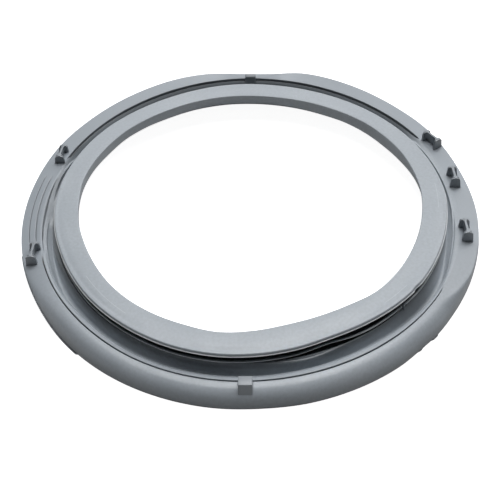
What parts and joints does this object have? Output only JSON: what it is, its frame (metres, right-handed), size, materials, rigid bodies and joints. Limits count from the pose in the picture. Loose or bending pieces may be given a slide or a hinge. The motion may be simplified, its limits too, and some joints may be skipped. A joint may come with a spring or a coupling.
{
  "type": "washing machine door seal",
  "caption": "Grey rubber door seal ring with a flat door lip, a folded channel, an outer flange with a drain roll, clamp lugs and marker blocks.",
  "frame": {"origin": "middle of the bounding box on the floor plane, which is on the axis of the ring, at the foot of the tub collar", "axes": "+Z along the ring's axis from the tub side to the door side; -Y towards the drain roll at the bottom of the door; +X to the right seen from above with the drain roll nearest"},
  "size_m": [0.4, 0.4, 0.0323],
  "materials": {
    "seal_rubber": "matt moulded grey rubber with a soft sheen"
  },
  "bodies": {
    "root": {"door_seal": "seal_rubber"}
  },
  "joints": []
}
